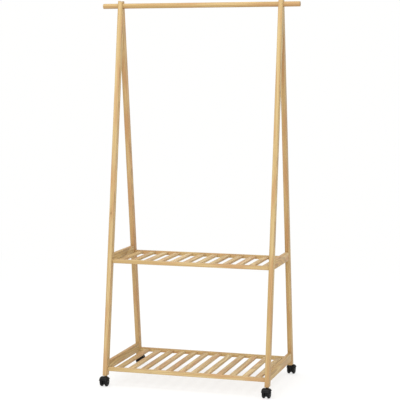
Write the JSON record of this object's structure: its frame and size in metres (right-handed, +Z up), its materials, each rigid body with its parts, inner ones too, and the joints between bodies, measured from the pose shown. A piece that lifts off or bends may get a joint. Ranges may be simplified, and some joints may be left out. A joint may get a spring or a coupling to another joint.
{
  "type": "rolling clothes rack",
  "caption": "Wooden rolling clothes rack: two A-frame sides, a round hanging rod, two slatted shelves and small twin-wheel swivel casters.",
  "frame": {"origin": "on the floor, under the middle of the rack", "axes": "+X along the hanging rod to the rack's right as seen from its front, +Y to the rear, +Z up"},
  "size_m": [0.875, 0.5014, 1.6449],
  "materials": {
    "wood": "clear satin lacquer on light yellow-tan bamboo or pine",
    "black_plastic": "moulded black nylon",
    "wheel_plastic": "moulded black wheel tread",
    "steel": "zinc plated"
  },
  "bodies": {
    "frame": {"leg_front_left": "wood", "leg_rear_left": "wood", "leg_front_right": "wood", "leg_rear_right": "wood", "hanging_rod": "wood", "rod_screw_left": "steel", "rod_screw_right": "steel", "lower_rail_front": "wood", "lower_rail_rear": "wood", "lower_side_board_left": "wood", "lower_side_board_right": "wood", "lower_slat_01": "wood", "lower_slat_02": "wood", "lower_slat_03": "wood", "lower_slat_04": "wood", "lower_slat_05": "wood", "lower_slat_06": "wood", "lower_slat_07": "wood", "lower_slat_08": "wood", "lower_slat_09": "wood", "lower_slat_10": "wood", "lower_slat_11": "wood", "lower_slat_12": "wood", "upper_rail_front": "wood", "upper_rail_rear": "wood", "upper_side_board_left": "wood", "upper_side_board_right": "wood", "upper_slat_01": "wood", "upper_slat_02": "wood", "upper_slat_03": "wood", "upper_slat_04": "wood", "upper_slat_05": "wood", "upper_slat_06": "wood", "upper_slat_07": "wood", "upper_slat_08": "wood", "upper_slat_09": "wood", "upper_slat_10": "wood", "upper_slat_11": "wood", "upper_slat_12": "wood", "caster_front_left_stem": "steel", "caster_front_right_stem": "steel", "caster_rear_left_stem": "steel", "caster_rear_right_stem": "steel"},
    "caster_front_left": {"caster_front_left_housing": "black_plastic", "caster_front_left_axle": "steel"},
    "caster_front_left_wheel_left": {"caster_front_left_wheel_left": "wheel_plastic"},
    "caster_front_left_wheel_right": {"caster_front_left_wheel_right": "wheel_plastic"},
    "caster_front_right": {"caster_front_right_housing": "black_plastic", "caster_front_right_axle": "steel"},
    "caster_front_right_wheel_left": {"caster_front_right_wheel_left": "wheel_plastic"},
    "caster_front_right_wheel_right": {"caster_front_right_wheel_right": "wheel_plastic"},
    "caster_rear_left": {"caster_rear_left_housing": "black_plastic", "caster_rear_left_axle": "steel"},
    "caster_rear_left_wheel_left": {"caster_rear_left_wheel_left": "wheel_plastic"},
    "caster_rear_left_wheel_right": {"caster_rear_left_wheel_right": "wheel_plastic"},
    "caster_rear_right": {"caster_rear_right_housing": "black_plastic", "caster_rear_right_axle": "steel"},
    "caster_rear_right_wheel_left": {"caster_rear_right_wheel_left": "wheel_plastic"},
    "caster_rear_right_wheel_right": {"caster_rear_right_wheel_right": "wheel_plastic"}
  },
  "joints": [
    {"name": "caster_front_left_swivel", "type": "hinge", "parent": "frame", "child": "caster_front_left", "pos_m": [-0.3563, -0.21345, 0.035], "axis": [0, 0, 1], "continuous": true},
    {"name": "caster_front_left_wheel_left_spin", "type": "hinge", "parent": "caster_front_left", "child": "caster_front_left_wheel_left", "pos_m": [-0.3563, -0.22945, 0.02], "axis": [1, 0, 0], "continuous": true},
    {"name": "caster_front_left_wheel_right_spin", "type": "hinge", "parent": "caster_front_left", "child": "caster_front_left_wheel_right", "pos_m": [-0.3563, -0.22945, 0.02], "axis": [1, 0, 0], "continuous": true},
    {"name": "caster_front_right_swivel", "type": "hinge", "parent": "frame", "child": "caster_front_right", "pos_m": [0.3563, -0.21345, 0.035], "axis": [0, 0, 1], "continuous": true},
    {"name": "caster_front_right_wheel_left_spin", "type": "hinge", "parent": "caster_front_right", "child": "caster_front_right_wheel_left", "pos_m": [0.3563, -0.22945, 0.02], "axis": [1, 0, 0], "continuous": true},
    {"name": "caster_front_right_wheel_right_spin", "type": "hinge", "parent": "caster_front_right", "child": "caster_front_right_wheel_right", "pos_m": [0.3563, -0.22945, 0.02], "axis": [1, 0, 0], "continuous": true},
    {"name": "caster_rear_left_swivel", "type": "hinge", "parent": "frame", "child": "caster_rear_left", "pos_m": [-0.3563, 0.21345, 0.035], "axis": [0, 0, 1], "continuous": true},
    {"name": "caster_rear_left_wheel_left_spin", "type": "hinge", "parent": "caster_rear_left", "child": "caster_rear_left_wheel_left", "pos_m": [-0.3563, 0.22945, 0.02], "axis": [1, 0, 0], "continuous": true},
    {"name": "caster_rear_left_wheel_right_spin", "type": "hinge", "parent": "caster_rear_left", "child": "caster_rear_left_wheel_right", "pos_m": [-0.3563, 0.22945, 0.02], "axis": [1, 0, 0], "continuous": true},
    {"name": "caster_rear_right_swivel", "type": "hinge", "parent": "frame", "child": "caster_rear_right", "pos_m": [0.3563, 0.21345, 0.035], "axis": [0, 0, 1], "continuous": true},
    {"name": "caster_rear_right_wheel_left_spin", "type": "hinge", "parent": "caster_rear_right", "child": "caster_rear_right_wheel_left", "pos_m": [0.3563, 0.22945, 0.02], "axis": [1, 0, 0], "continuous": true},
    {"name": "caster_rear_right_wheel_right_spin", "type": "hinge", "parent": "caster_rear_right", "child": "caster_rear_right_wheel_right", "pos_m": [0.3563, 0.22945, 0.02], "axis": [1, 0, 0], "continuous": true}
  ]
}
